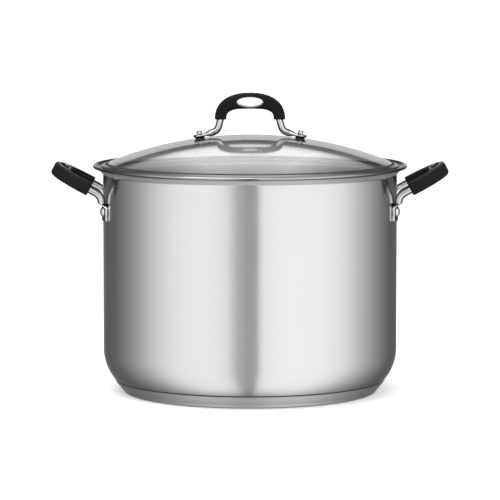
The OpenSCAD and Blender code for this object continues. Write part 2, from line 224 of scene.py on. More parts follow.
# painted light: the band's underside is a much lighter copy of the band steel
M_UNDER_LIT = brushed("band_underside_painted_light", (0.95, 0.95, 0.96), 0.04, 0.45, 0.55, 0.2)
# the rolled bead is the body steel painted darker, as painted shade on its highlight
M_BEAD = polished("rolled_bead_steel_painted_shade", (0.52, 0.52, 0.525), 0.09, 0.16, scale=40.0, rim=((0.0, 1.0), (0.2, 0.95), (0.55, 0.4), (1.0, 0.2)))
# rod steel with the strongest painted shade: dark sides wherever the rod turns edge-on
M_ROD = polished("rod_steel_painted_edge_shade", (0.90, 0.90, 0.905), 0.05, 0.12, rim=((0.0, 1.0), (0.04, 1.0), (0.18, 0.30), (0.40, 0.05), (1.0, 0.03)))
M_NUT = polished("cap_nut_steel", (0.70, 0.70, 0.705), 0.08, 0.15, rim=((0.0, 1.0), (0.15, 0.8), (0.45, 0.2), (1.0, 0.05)))
M_WIRE = polished("rack_wire_steel", (0.80, 0.80, 0.81), 0.12, 0.24, scale=160.0, spread=0.12)
# painted shadow: a dark ring standing in for the shade in the groove where the shell meets the base cap
M_SEAM_SHADOW = brushed("painted_seam_shadow", (0.13, 0.13, 0.132), 0.25, 0.45, 0.6, 0.2, lines=2100.0)
M_CORE = brushed("rolled_aluminium", (0.80, 0.81, 0.82), 0.10, 0.35, 0.5, 0.3)
M_GRIP = grained("black_soft_grip", (0.0004, 0.0004, 0.0005), (0.0075, 0.0075, 0.008), 0.40, 0.52, 620.0, 0.0008, strength=1.0, spec=0.21)
M_RUBBER = grained("black_silicone", (0.002, 0.002, 0.002), (0.008, 0.008, 0.008), 0.5, 0.65, 900.0, 0.00006, spec=0.25)
M_GLASS = glass_mat("clear_tempered_glass")


# ------------------------------------------------------------------ mesh helpers
def make(name, verts, faces, mat, body, slot, replaces=(), sharp=38, scale=MM, smooth=True):
    me = bpy.data.meshes.new(name)
    me.from_pydata([tuple(c * scale for c in v) for v in verts], [], faces)
    me.validate()
    bm = bmesh.new()
    bm.from_mesh(me)
    bmesh.ops.remove_doubles(bm, verts=bm.verts, dist=1e-7)
    bmesh.ops.recalc_face_normals(bm, faces=bm.faces)
    bm.to_mesh(me)
    bm.free()
    if smooth:
        me.shade_smooth()
        me.set_sharp_from_angle(angle=rad(sharp))
    o = bpy.data.objects.new(name, me)
    bpy.context.scene.collection.objects.link(o)
    me.materials.append(mat)
    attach(o, body)
    if replaces:
        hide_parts(*replaces)
    return o


def merge_into(lists, verts, faces):
    V, F = lists
    k = len(V)
    V.extend(verts)
    F.extend([tuple(i + k for i in f) for f in faces])


def lathe_mesh(profile, seg=192, closed=False):
    """Revolves (r, z) points about Z. A closed profile makes a torus-like skin."""
    V, F, rows = [], [], []
    for r, z in profile:
        if abs(r) < 1e-6:
            rows.append([len(V)])
            V.append((0.0, 0.0, z))
        else:
            rows.append(list(range(len(V), len(V) + seg)))
            V.extend((r * cos(2 * math.pi * i / seg), r * sin(2 * math.pi * i / seg), z) for i in range(seg))
    pairs = list(zip(rows, rows[1:]))
    if closed:
        pairs.append((rows[-1], rows[0]))
    for a, b in pairs:
        if len(a) == 1 and len(b) == 1:
            continue
        for i in range(seg):
            j = (i + 1) % seg
            if len(a) == 1:
                F.append((a[0], b[i], b[j]))
            elif len(b) == 1:
                F.append((a[i], b[0], a[j]))
            else:
                F.append((a[i], b[i], b[j], a[j]))
    return V, F


def arc(c, r, a0, a1, n):
    return [(c[0] + r * cos(rad(a0 + (a1 - a0) * i / n)), c[1] + r * sin(rad(a0 + (a1 - a0) * i / n))) for i in range(n + 1)]


def place(verts, mat):
    return [tuple(mat @ Vector(v)) for v in verts]


def loft_mesh(rings, cap=True):
    """Skins a row of rings that have the same number of points."""
    V, F = [], []
    n = len(rings[0])
    for r in rings:
        V.extend(tuple(p) for p in r)
    for k in range(len(rings) - 1):
        for i in range(n):
            j = (i + 1) % n
            F.append((k * n + i, k * n + j, (k + 1) * n + j, (k + 1) * n + i))
    if cap:
        F.append(tuple(range(n))[::-1])
        F.append(tuple((len(rings) - 1) * n + i for i in range(n)))
    return V, F


def section(c, wa, na, w, h, n=2.0, count=28, curve=0.0):
    """Superellipse ring: half width w along wa, half thickness h along na; curve bows it like the wall."""
    out = []
    for i in range(count):
        t = 2 * math.pi * i / count
        x = w * math.copysign(abs(cos(t)) ** (2 / n), cos(t))
        y = h * math.copysign(abs(sin(t)) ** (2 / n), sin(t))
        out.append(Vector(c) + Vector(wa) * x + Vector(na) * (y - curve * x * x / 2))
    return out


def wire(points, r, count=14, ends=True):
    """Round wire through the points, with domed ends."""
    P = [Vector(p) for p in points]
    rings = []
    up = None
    n = len(P)
    for i, p in enumerate(P):
        t = (P[min(i + 1, n - 1)] - P[max(i - 1, 0)]).normalized()
        if up is None:
            up = t.orthogonal().normalized()
        up = (up - t * up.dot(t)).normalized()
        side = t.cross(up)
        if i == 0 and ends:
            for a in (80, 55, 25):
                rings.append([p + t * (r * (1 - sin(rad(a))) * 0.55) + (up * cos(2 * math.pi * k / count) + side * sin(2 * math.pi * k / count)) * r * cos(rad(a)) for k in range(count)])
            p = p + t * r * 0.55
        if i == n - 1 and ends:
            p = p - t * r * 0.55
        rings.append([p + (up * cos(2 * math.pi * k / count) + side * sin(2 * math.pi * k / count)) * r for k in range(count)])
        if i == n - 1 and ends:
            for a in (25, 55, 80):
                rings.append([p + t * (r * 0.55 * sin(rad(a))) + (up * cos(2 * math.pi * k / count) + side * sin(2 * math.pi * k / count)) * r * cos(rad(a)) for k in range(count)])
    return loft_mesh(rings)


def spin(deg, verts):
    m = Matrix.Rotation(rad(deg), 4, "Z")
    return place(verts, m)


# ------------------------------------------------------------------ dimensions, as in the CAD
POT_R, WALL_T, WALL_TOP = 161.0, 0.9, 238.5
CR, CZ, TURN, FR = 52.4, 48.0, 42.0, 10.0
C1 = (POT_R - CR, CZ)
C2 = (C1[0] + (CR - FR) * cos(rad(TURN)), C1[1] - (CR - FR) * sin(rad(TURN)))
UNDER = C2[1] - FR
FLOOR = UNDER + WALL_T
BEAD = (POT_R + 9.4, WALL_TOP + 9.5)
BEAD_R = 1.65
RISE = 28.0

# ------------------------------------------------------------------ pot shell
fl = 3.0
outer = [(0, UNDER), (60, UNDER), (120, UNDER)] + arc(C2, FR, -90, -TURN, 10) + arc(C1, CR, -TURN, -40.75, 1)[1:] + arc(C1, CR, -40.75, -38.9, 3)[1:] + arc(C1, CR, -38.9, 0, 27)[1:]
outer += [(POT_R, z) for z in (70, 95, 120, 145, 170, 195, 215, 230)]
outer += arc((POT_R + fl, WALL_TOP), fl, 180, 135, 8)
k0 = outer[-1]
outer += [(k0[0] + 2.2, k0[1] + 2.2), (k0[0] + 4.6, k0[1] + 4.6)]
bead = arc(BEAD, BEAD_R, 205, 135 - 360, 26)
inner = [(BEAD[0] - BEAD_R * 0.707 - 2.4, BEAD[1] + BEAD_R * 0.707 - 2.4), (BEAD[0] - BEAD_R * 0.707 - 4.6, BEAD[1] + BEAD_R * 0.707 - 4.6)]
inner += arc((POT_R + fl, WALL_TOP), fl + WALL_T, 135, 180, 8)
inner += [(POT_R - WALL_T, z) for z in (230, 215, 195, 170, 145, 120, 95, 70)]
inner += arc(C1, CR - WALL_T, 0, -TURN, 28) + arc(C2, FR - WALL_T, -TURN, -90, 10)[1:] + [(120, FLOOR), (60, FLOOR), (0, FLOOR)]
# the outside and the inside share one skin, with their own finishes; the inside steel is also painted a little darker
# than the outside, as painted shade
V, F = lathe_mesh(outer + bead + inner, seg=288)
shell = make("pot_shell_skin", V, F, M_BODY, "pot", "satin_steel", ["pot_shell"], sharp=50)
shell.data.materials.append(M_INNER)
shell.data.materials.append(M_SEAM_SHADOW)
shell.data.materials.append(M_BEAD)
for p in shell.data.polygons:
    c = p.center
    away = math.hypot(math.hypot(c.x, c.y) / MM - C1[0], c.z / MM - C1[1])
    # a thin band of the outer wall just above the base cap gets the painted groove shadow
    if 13.75 < c.z / MM < 15.05 and away > CR - 0.3:
        p.material_index = 2
        continue
    # bead faces get the darker painted-shade copy of the steel
    if c.z / MM > BEAD[1] - 1.9:
        p.material_index = 3
        continue
    rr = math.hypot(c.x, c.y) / MM
    rr, z = math.hypot(c.x, c.y) / MM, c.z / MM
    if z > WALL_TOP:
        inside = z - WALL_TOP > rr - POT_R + 1.25
    elif z > C1[1]:
        inside = rr < POT_R - 0.45
    elif z > C2[1] - FR * sin(rad(TURN)) and rr > C2[0]:
        inside = away < CR - 0.45
    elif rr > C2[0]:
        inside = math.hypot(rr - C2[0], z - C2[1]) < FR - 0.45
    else:
        inside = z > UNDER + 0.45
    if inside:
        p.material_index = 1

# ------------------------------------------------------------------ base cap
FT, CT = 136.0, 0.7
cap_prof = [(0, 0), (50, 0), (100, 0), (FT, 0), (FT + 1.0, 0.1), (FT + 1.9, 0.38), (FT + 2.7, 0.85), (FT + 3.35, 1.45), (FT + 3.9, 2.15), (FT + 4.4, 3.0)]
top_o, top_i = (148.75, 13.6), (148.37, 13.72)
s0 = cap_prof[-1]
for t in (0.15, 0.35, 0.55, 0.75, 0.92):
    cap_prof.append((s0[0] + (top_o[0] - s0[0]) * t + 0.22 * sin(math.pi * t), s0[1] + (top_o[1] - s0[1]) * t))
cap_prof += [(top_o[0], top_o[1] - 0.06), (top_o[0] - 0.08, top_o[1] + 0.05), top_i]
cap_prof += [(FT + 3.6, CT + 2.7), (FT + 2.7, CT + 1.2), (FT + 1.4, CT + 0.35), (FT, CT), (100, CT), (0, CT)]
V, F = lathe_mesh(cap_prof, seg=288)
make("base_cap_skin", V, F, M_CAP, "pot", "satin_steel", ["base_cap"], sharp=60)
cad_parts["base_core"].data.materials.clear()
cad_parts["base_core"].data.materials.append(M_CORE)

# ------------------------------------------------------------------ side handles
LEG_Y = 38.8
GP = (POT_R + 13, WALL_TOP - 13.5)
ROD_R, ROD_B = 4.3, 12.0
ROD_X = math.sqrt((POT_R + 4.9) ** 2 - LEG_Y ** 2)
BEND_X = ROD_X + ROD_B * (1 - cos(rad(90 - RISE)))
LEG_Z = GP[1] - (GP[0] - BEND_X) * math.tan(rad(RISE))
BEND_Z = LEG_Z - ROD_B * sin(rad(90 - RISE))
RIV_Z, RIV_AZ = 201.0, 13.8


def side_leg(s):
    az = rad(RIV_AZ) * s
    rn = Vector((cos(az), sin(az), 0))
    tn = Vector((-sin(az), cos(az), 0))
    ny = Vector((0, 1, 0))
    foot_c = Vector((162.62 * cos(az), 162.62 * sin(az), 0))
    rod_c = Vector((ROD_X, s * LEG_Y, 0))
    z0 = RIV_Z - 10.6
    rings = []
    # flat strap with rounded lower corners
    for dz, w, h in ((0.0, 6.4, 0.9), (0.12, 7.4, 1.25), (0.5, 8.5, 1.45), (1.2, 9.3, 1.5), (2.2, 9.8, 1.5), (3.4, 10.0, 1.5), (7.0, 10.0, 1.5), (11.0, 10.0, 1.5), (14.5, 10.0, 1.5)):
        rings.append(section(foot_c + Vector((0, 0, z0 + dz)), tn, rn, w, h, n=6.0, curve=1 / 163))
    # shoulder: strap gathers into the round rod
    for i, t in enumerate((0.12, 0.3, 0.5, 0.7, 0.87, 1.0)):
        e = t * t * (3 - 2 * t)
        z = z0 + 14.5 + (BEND_Z - z0 - 14.5) * t
        c = foot_c.lerp(rod_c, e ** 1.5) + Vector((0, 0, z))
        wdir = tn.lerp(ny, e).normalized()
        ndir = Vector((0, 0, 1)).cross(wdir) * -1
        ndir = ndir if ndir.x > 0 else -ndir
        rings.append(section(c, wdir, ndir, 10.0 + (ROD_R - 10.0) * e, 1.5 + (ROD_R - 1.5) * e ** 1.4, n=6.0 - 4.0 * min(1, e * 1.3), curve=(1 - e) / 163))
    # bend out to the rise of the loop
    for i in range(1, 15):
        a = rad(180 - (90 - RISE) * i / 14)
        c = Vector((ROD_X + ROD_B + ROD_B * cos(a), s * LEG_Y, BEND_Z + ROD_B * sin(a)))
        nd = Vector((-cos(a), 0, -sin(a)))
        rings.append(section(c, ny, nd, ROD_R, ROD_R))
    d = Vector((cos(rad(RISE)), 0, sin(rad(RISE))))
    nd = Vector((sin(rad(RISE)), 0, -cos(rad(RISE))))
    c0 = Vector((BEND_X, s * LEG_Y, LEG_Z))
    for u in (3.0, 7.0, 12.0, 18.8):
        rings.append(section(c0 + d * u, ny, nd, ROD_R, ROD_R))
    return loft_mesh(rings)


def sup(a, b, n, t):
    c = cos(rad(t))
    return (b * abs(sin(rad(t))) ** (2 / n), a * math.copysign(abs(c) ** (2 / n), c) if abs(c) > 1e-9 else 0.0)


def rrect(hw, hh, rc, count=8):
    pts = []
    for cx, cy, a0 in ((hw - rc, hh - rc, 0), (rc - hw, hh - rc, 90), (rc - hw, rc - hh, 180), (hw - rc, rc - hh, 270)):
        for i in range(count):
            a = rad(a0 + 90 * i / (count - 1))
            pts.append((cx + rc * cos(a), cy + rc * sin(a)))
    return pts


def grip_mesh(a, b, ai, bi, th, rc, steps=72):
    """Arched grip in its own frame: x is the reach, y the half width, z the thickness."""
    rings = []

    def ring(t, inset=0.0, shift=0.0):
        po, pi = Vector((*sup(a, b, 2.3, t), 0)), Vector((*sup(ai, bi, 3.2, t), 0))
        c, wv = (po + pi) / 2, (po - pi)
        hw = wv.length / 2 - inset
        wd = wv.normalized()
        c = c + Vector((shift, 0, 0))
        return [c + wd * x + Vector((0, 0, 1)) * z for x, z in rrect(hw, th / 2 - inset, min(rc, hw * 0.95) - inset * 0.5)]

    rings.append(ring(0, 1.0, 0.0))
    rings.append(ring(0, 0.35, 0.1))
    rings.append(ring(0, 0.0, 0.6))
    # even steps along the arch
    ts = []
    for i in range(1, steps):
        ts.append(180 * (i / steps))
    for t in ts:
        r = ring(t)
        if min(p.x for p in r) > 0.9:
            rings.append(r)
    rings.append(ring(180, 0.0, 0.6))
    rings.append(ring(180, 0.35, 0.1))
    rings.append(ring(180, 1.0, 0.0))
    return loft_mesh(rings)


def oval_prism(u, ru, rv, hh, count=72):
    ring = lambda z: [Vector((u + ru * cos(2 * math.pi * i / count), rv * sin(2 * math.pi * i / count), z)) for i in range(count)]
    return loft_mesh([ring(-hh), ring(hh)])


def eyelet(u, ru, rv, hh, wall=0.6, lip=0.55, count=88):
    """Oval lining with a small rolled lip on each face."""
    prof = [(-wall, -hh + 0.3), (-wall + 0.12, -hh - 0.02), (-0.2, -hh - 0.16), (lip * 0.6, -hh - 0.14), (lip, -hh + 0.02), (lip * 0.8, -hh + 0.14), (0.0, -hh + 0.2)]
    prof = prof + [(x, -z) for x, z in reversed(prof)]
    V, F = [], []
    n = len(prof)
    for i in range(count):
        t = 2 * math.pi * i / count
        nx, ny = cos(t) / ru, sin(t) / rv
        L = math.hypot(nx, ny)
        nx, ny = nx / L, ny / L
        for d, z in prof:
            V.append((u + (ru - 0.05) * cos(t) + nx * d, (rv - 0.05) * sin(t) + ny * d, z))
    for i in range(count):
        j = (i + 1) % count
        for k in range(n):
            l = (k + 1) % n
            F.append((i * n + k, j * n + k, j * n + l, i * n + l))
    return V, F


def cut(obj, V, F):
    """Takes a closed solid out of obj, and keeps the result as plain mesh."""
    me = bpy.data.meshes.new("cutter")
    me.from_pydata([tuple(c * MM for c in v) for v in V], [], F)
    bm = bmesh.new()
    bm.from_mesh(me)
    bmesh.ops.recalc_face_normals(bm, faces=bm.faces)
    bm.to_mesh(me)
    bm.free()
    c = bpy.data.objects.new("cutter", me)
    bpy.context.scene.collection.objects.link(c)
    mod = obj.modifiers.new("cut", "BOOLEAN")
    mod.operation = "DIFFERENCE"
    mod.solver = "EXACT"
    mod.object = c
    bpy.context.view_layer.update()
    dg = bpy.context.evaluated_depsgraph_get()
    new = bpy.data.meshes.new_from_object(obj.evaluated_get(dg))
    obj.modifiers.remove(mod)
    old = obj.data
    obj.data = new
    bpy.data.meshes.remove(old)
    bpy.data.objects.remove(c)
    bpy.data.meshes.remove(me)


def paint_eyelet_shade(o, m, depth):
    """Painted shade inside an eyelet: its inner wall gets the black grip material, so that only the rolled lips stay
    bright.
    """
    o.data.materials.append(M_GRIP)
    inv = m.inverted()
    for p in o.data.polygons:
        if abs((inv @ (p.center / MM)).z) < depth:
            p.material_index = 1


SA, SB, ST = 45.2, 46.7, 14.5
SAI, SBI = SA - 12.2, SB - 19.3
SH_U, SH = SB - 10.7, (6.5, 17.0)
loop_m = Matrix.Translation((GP[0], 0, GP[1])) @ Matrix.Rotation(rad(-RISE), 4, "Y")


def rivet_mesh():
    s_out = POT_R + 3.1
    prof = [(0, 158.45)] + arc((0, 169.28), 10.83, -90, -62, 8)[1:] + [(5.35, 159.75), (5.3, 159.93), (3.0, 159.95), (3.0, s_out + 0.05), (5.9, s_out + 0.05), (6.12, s_out + 0.2)]
    prof += arc((0, s_out - 3.6), 7.15, 34, 90, 14)
    prof[-1] = (0, s_out + 3.55)
    V, F = lathe_mesh(prof, seg=40)
    return place(V, Matrix.Rotation(rad(90), 4, "Y")), F


for side, turn in (("right", 0), ("left", 180)):
    lists = ([], [])
    for s in (-1, 1):
        V, F = side_leg(s)
        merge_into(lists, spin(turn, V), F)
    rods = make(f"{side}_handle_rods", *lists, M_BRIGHT, "pot", "polished_steel", [f"{side}_handle_frame"], sharp=45)
    rods.data.materials.append(M_ROD)
    # the upper part of each handle rod gets the copy with the stronger painted edge shade
    for p in rods.data.polygons:
        if p.center.z / MM > RIV_Z + 6.5:
            p.material_index = 1
    V, F = grip_mesh(SA, SB, SAI, SBI, ST, 3.4)
    g = make(f"{side}_grip_shell", spin(turn, place(V, loop_m)), F, M_GRIP, "pot", "black_grip", [f"{side}_handle_grip"], sharp=42)
    V, F = oval_prism(SH_U, SH[0], SH[1], ST)
    cut(g, spin(turn, place(V, loop_m)), F)
    g.data.set_sharp_from_angle(angle=rad(42))
    V, F = eyelet(SH_U, SH[0], SH[1], ST / 2)
    ring = make(f"{side}_grip_eyelet", spin(turn, place(V, loop_m)), F, M_RING, "pot", "polished_steel", [f"{side}_grip_ring"], sharp=40)
    # painted shade on the inner wall of the grip hole
    paint_eyelet_shade(ring, loop_m if turn == 0 else Matrix.Rotation(math.pi, 4, "Z") @ loop_m, ST / 2 - 0.7)
    lists = ([], [])
    for s in (-1, 1):
        V, F = rivet_mesh()
        V = [(x, y, z) for x, y, z in V]
        V = place(V, Matrix.Rotation(rad(turn + s * RIV_AZ), 4, "Z") @ Matrix.Translation((0, 0, RIV_Z)))
        merge_into(lists, V, F)
    make(f"{side}_rivet_heads", *lists, M_BRIGHT, "pot", "polished_steel", [f"{side}_handle_rivets"], sharp=35)

# ------------------------------------------------------------------ lid
DR, GT, GE = 420.0, 4.0, 162.7
DZ = 249.5 - math.sqrt(420 * 420 - 160 * 160)
LX = 54.7
TILT = math.degrees(math.asin(LX / DR))


def dome(r, p):
    return DZ + math.sqrt(r * r - p * p)


def on_dome(x, az=0.0):
    return Matrix.Rotation(rad(az), 4, "Z") @ Matrix.Translation((0, 0, DZ)) @ Matrix.Rotation(math.asin(x / DR), 4, "Y") @ Matrix.Translation((0, 0, DR))


n_r = 44
ps = [GE * i / n_r for i in range(n_r + 1)]
prof = [(p, dome(DR, p)) for p in ps[:-1]] + [(GE - 0.5, dome(DR, GE - 0.5)), (GE - 0.12, dome(DR, GE) - 0.35), (GE, dome(DR, GE) - 0.9)]
prof += [(GE, dome(DR - GT, GE) + 0.9), (GE - 0.12, dome(DR - GT, GE) + 0.35), (GE - 0.5, dome(DR - GT, GE - 0.5))]
prof += [(p, dome(DR - GT, p)) for p in reversed(ps[:-1])]
V, F = lathe_mesh(prof, seg=256)
glass = make("lid_glass_dome", V, F, M_GLASS, "lid", "lid_glass", ["lid_glass"], sharp=50)
lists = ([], [])
for x, az, r in ((LX, 0, 3.0), (LX, 180, 3.0), (79.6, 128.9, 3.0)):
    V, F = lathe_mesh([(0, -9), (r, -9), (r, 5), (0, 5)], seg=32)
    merge_into(lists, place(V, on_dome(x, az)), F)
cut(glass, *lists)
glass.data.set_sharp_from_angle(angle=rad(50))

bt = 0.6
gt = lambda p: dome(DR, p)
gb = lambda p: dome(DR - GT, p)
band = [(155.4, gt(155.4) + 0.05 + bt * 0.4), (155.5, gt(155.5) + 0.05 + bt * 0.8), (155.8, gt(155.8) + 0.05 + bt)]
band += [(p, gt(p) + 0.05 + bt) for p in (157.2, 158.6, 160.0, 161.4, GE - 0.9)]
band += [(GE - 0.15, gt(GE) + 0.52), (GE + 0.33, gt(GE) + 0.22), (GE + 0.6, gt(GE) - 0.22), (GE + 0.7, gt(GE) - 0.75)]
band += [(GE + 0.7, gb(GE) + 0.1), (GE + 0.62, gb(GE) - 0.2), (GE + 0.4, gb(GE) - 0.42), (GE + 0.05, gb(GE) - 0.55)]
band += [(p, gb(p) - 0.05 - bt) for p in (GE - 0.6, 161.4, 160.2, 158.8)] + [(158.45, gb(158.4) - 0.05 - bt * 0.85), (158.42, gb(158.4) - 0.05 - bt * 0.4)]
band += [(p, gb(p) - 0.05) for p in (158.6, 160.2, 161.6, GE + 0.05)] + [(p, gt(p) + 0.05) for p in (GE + 0.05, 161.6, 159.6, 157.6, 155.6)]
V, F = lathe_mesh(band, seg=288, closed=True)
ring = make("lid_band_skin", V, F, M_BAND, "lid", "polished_steel", ["lid_rim_band"], sharp=50)
ring.data.materials.append(M_GAP_SHADE)
ring.data.materials.append(M_UNDER_LIT)
for p in ring.data.polygons:
    rr, z = math.hypot(p.center.x, p.center.y) / MM, p.center.z / MM
    # inner top edge of the band gets the painted gap shadow
    if rr < 158.5 and z > gt(rr) - 0.5:
        p.material_index = 1
    # downward faces of the band get the painted-light copy
    elif z < gb(rr) + 0.2 and rr < GE:
        p.material_index = 2

# lid handle rods
LVX, LVZ, LB, LEAN, LR = 35.9, 285.0, 9.0, 15.0, 3.95
LT = LB * math.tan(rad((90 - TILT - LEAN) / 2))
LBS = Vector((LVX + LT * cos(rad(TILT)), 0, LVZ - LT * sin(rad(TILT))))
LBE = Vector((LVX - LT * sin(rad(LEAN)), 0, LVZ + LT * cos(rad(LEAN))))
LBC = LBS + LB * Vector((sin(rad(TILT)), 0, cos(rad(TILT))))
LGZ = 298.7


def lid_leg():
    rings = []
    fm = on_dome(LX)
    wy = Vector((0, 1, 0))
    nz = (fm.to_3x3() @ Vector((0, 0, 1))).normalized()

    def at(x, z=3.45):
        return fm @ Vector((x, 0, z))

    # round-ended flat foot
    for x in (6.93, 6.7, 6.2, 5.4, 4.2, 2.6, 1.0, -0.6):
        w = math.sqrt(max(0.2, 49 - max(x, 0) ** 2))
        rings.append(section(at(x), wy, nz, w, 1.25 if x < 6.5 else (1.1 if x < 6.8 else 0.8), n=5.0))
    # gathers into the round rod, which stays clear of the glass
    start = at(-2.4)
    for t in (0.0, 0.18, 0.36, 0.54, 0.7, 0.85, 1.0):
        e = t * t * (3 - 2 * t)
        c = start.lerp(LBS, t)
        w = 6.9 + (LR - 6.9) * e
        h = 1.25 + (LR - 1.25) * e ** 1.25
        low = 1.25 * (1 - t)
        rings.append(section(c, wy, nz, w, h, n=5.0 - 3.0 * min(1.0, e * 1.4)))
    a0 = 180 + LEAN + (90 - TILT - LEAN)
    for i in range(1, 17):
        a = rad(a0 - (90 - TILT - LEAN) * i / 16)
        c = LBC + LB * Vector((cos(a), 0, sin(a)))
        rings.append(section(c, wy, -Vector((cos(a), 0, sin(a))), LR, LR))
    d = Vector((-sin(rad(LEAN)), 0, cos(rad(LEAN))))
    nd = Vector((cos(rad(LEAN)), 0, sin(rad(LEAN))))
    L = (LGZ + 9.0 - LBE.z) / cos(rad(LEAN))
    for k in (0.25, 0.5, 0.75, 1.0):
        rings.append(section(LBE + d * L * k, wy, nd, LR, LR))
    return loft_mesh(rings)


lists = ([], [])
for az in (0, 180):
    V, F = lid_leg()
    merge_into(lists, spin(az, V), F)
make("lid_handle_rods", *lists, M_ROD, "lid", "polished_steel", ["lid_handle_frame"], sharp=45)

LA, LBH, LTH = 38.6, 29.1, 13.0
lid_m = Matrix.Translation((0, 0, LGZ)) @ Matrix.Rotation(rad(90), 4, "Z") @ Matrix.Rotation(rad(-90), 4, "Y")
V, F = grip_mesh(LA, LBH, LA - 12.8, LBH - 17.4, LTH, 3.2)
g = make("lid_grip_shell", place(V, lid_m), F, M_GRIP, "lid", "black_grip", ["lid_handle_grip"], sharp=42)
V, F = oval_prism(LBH - 9.8, 5.5, 14.25, LTH)
cut(g, place(V, lid_m), F)
g.data.set_sharp_from_angle(angle=rad(42))
V, F = eyelet(LBH - 9.8, 5.5, 14.25, LTH / 2, lip=0.3)
ring = make("lid_grip_eyelet", place(V, lid_m), F, M_RING, "lid", "polished_steel", ["lid_grip_ring"], sharp=40)
# painted shade on the inner wall of the grip hole
paint_eyelet_shade(ring, lid_m, LTH / 2 - 2.5)


def at_feet(prof, seg, closed=False):
    lists = ([], [])
    for az in (0, 180):
        V, F = lathe_mesh(prof, seg=seg, closed=closed)
        merge_into(lists, place(V, on_dome(LX, az)), F)
    return lists


nut = [(2.05, 4.75), (2.85, 4.75), (3.0, 4.92), (3.0, 8.45), (2.9, 8.72), (2.65, 8.9), (2.2, 8.95), (0, 8.95)]
nut_in = [(0, 8.1), (2.05, 8.1)]
V, F = at_feet(nut_in + nut, 36)
make("lid_cap_nuts", V, F, M_NUT, "lid", "polished_steel", ["lid_handle_nuts"], sharp=40)
gask = [(2.3, 0.06), (4.7, 0.06), (5.1, 0.25), (5.3, 0.8), (5.2, 1.5), (6.2, 1.75), (6.4, 1.95), (6.2, 2.13), (2.3, 2.13)]
V, F = at_feet(gask, 44, closed=True)
make("lid_foot_pads", V, F, M_RUBBER, "lid", "black_rubber", ["lid_handle_gaskets"], sharp=40)
bush = [(2.15, -5.6), (6.2, -5.6), (6.5, -5.35), (6.5, -4.35), (6.25, -4.12), (2.9, -4.1), (2.9, -0.1), (2.15, -0.1)]
V, F = at_feet(bush, 40, closed=True)
make("lid_under_washers", V, F, M_RUBBER, "lid", "black_rubber", ["lid_handle_bushes"], sharp=40)
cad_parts["lid_handle_screws"].data.materials.clear()
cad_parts["lid_handle_screws"].data.materials.append(M_BRIGHT)
gro = [(1.6, -4.85), (4.3, -4.85), (4.6, -4.6), (4.55, -4.3), (4.2, -4.12), (2.9, -4.12), (2.9, 0.1), (4.5, 0.1), (4.95, 0.3), (4.9, 0.6), (4.5, 0.85), (2.4, 0.9), (1.8, 0.7), (1.6, 0.3)]
V, F = lathe_mesh(gro, seg=40, closed=True)
make("vent_eyelet", place(V, on_dome(79.6, 128.9)), F, M_BRIGHT, "lid", "polished_steel", ["vent_grommet"], sharp=40)

# ------------------------------------------------------------------ rack
WR, GRD, DV = 2.0, 1.6, 1.5
RING_Z = FLOOR + 0.3 + WR
GRID_Z = RING_Z + WR + GRD - 0.15
TOP_Z = 110.0


def torus(R, r, z, seg=192, k=14):
    return lathe_mesh([(R + r * cos(2 * math.pi * i / k), z + r * sin(2 * math.pi * i / k)) for i in range(k)], seg=seg, closed=True)


def rack_piece(name, nodename, parts, body="rack"):
    lists = ([], [])
    for V, F in parts:
        merge_into(lists, V, F)
    return make(name, *lists, M_WIRE, body, "rack_wire", [nodename], sharp=50)


rack_piece("rack_base_hoop", "rack_base_ring", [torus(132, WR, RING_Z)])
parts = [torus(r, GRD, GRID_Z - 2 * GRD + 0.15, seg=128) for r in (16, 54, 94)]
for a in range(0, 360, 60):
    V, F = wire([(14.5, 0, GRID_Z), (70, 0, GRID_Z), (133.5, 0, GRID_Z)], GRD)
    parts.append((spin(a, V), F))
rack_piece("rack_floor_wires", "rack_floor_grid", parts)
parts = []
for a in range(0, 360, 60):
    V, F = wire([(135.6, 0, RING_Z - 1.5), (141.5, 0, 60), (147.4, 0, TOP_Z + 2)], WR)
    parts.append((spin(a, V), F))
rack_piece("rack_upright_wires", "rack_uprights", parts)
rack_piece("rack_top_hoop", "rack_top_ring", [torus(151, WR, TOP_Z)])
rack_piece("rack_middle_hoop", "rack_cell_ring", [torus(50, DV, TOP_Z, seg=128)])
parts = []
for a in range(0, 360, 60):
    V, F = wire([(51.3, 0, TOP_Z), (100, 0, TOP_Z), (149.3, 0, TOP_Z)], DV)
    parts.append((spin(a, V), F))
rack_piece("rack_divider_wires", "rack_dividers", parts)
parts = []
BZ, BX = TOP_Z + 4.3, 139.0
for sx in (-1, 1):
    for sy in (-1, 1):
        V, F = lathe_mesh([(2.05, -3), (3.3, -3), (3.6, -2.7), (3.6, 2.7), (3.3, 3), (2.05, 3)], seg=28, closed=True)
        parts.append((place(V, Matrix.Translation((sx * BX, sy * 56, BZ)) @ Matrix.Rotation(rad(90), 4, "X")), F))
rack_piece("rack_bail_lugs", "rack_bail_eyes", parts)


def bail_path():
    pts = []
    x1, bb, by, ey = 75 - BX, 12.0, 49.6, 60.3
    pts += [(-BX, ey, BZ), (-BX, 56, BZ)]
    pts += [(3.2 - BX + 3.2 * cos(rad(a)), by + 3.2 + 3.2 * sin(rad(a)), BZ) for a in range(180, 271, 15)]
    pts += [(-110, by, BZ), (-95, by, BZ)]
    pts += [(x1 - bb + bb * cos(rad(a)), by - bb + bb * sin(rad(a)), BZ) for a in range(90, -1, -10)]
    pts += [(x1, 18, BZ), (x1, 0, BZ)]
    return pts + [(x, -y, z) for x, y, z in reversed(pts[:-1])]


for side, turn in (("left", 0), ("right", 180)):
    V, F = wire(bail_path(), WR, count=16)
    rack_piece(f"{side}_bail_wire", f"{side}_rack_bail", [(spin(turn, V), F)], body=f"{side}_bail")

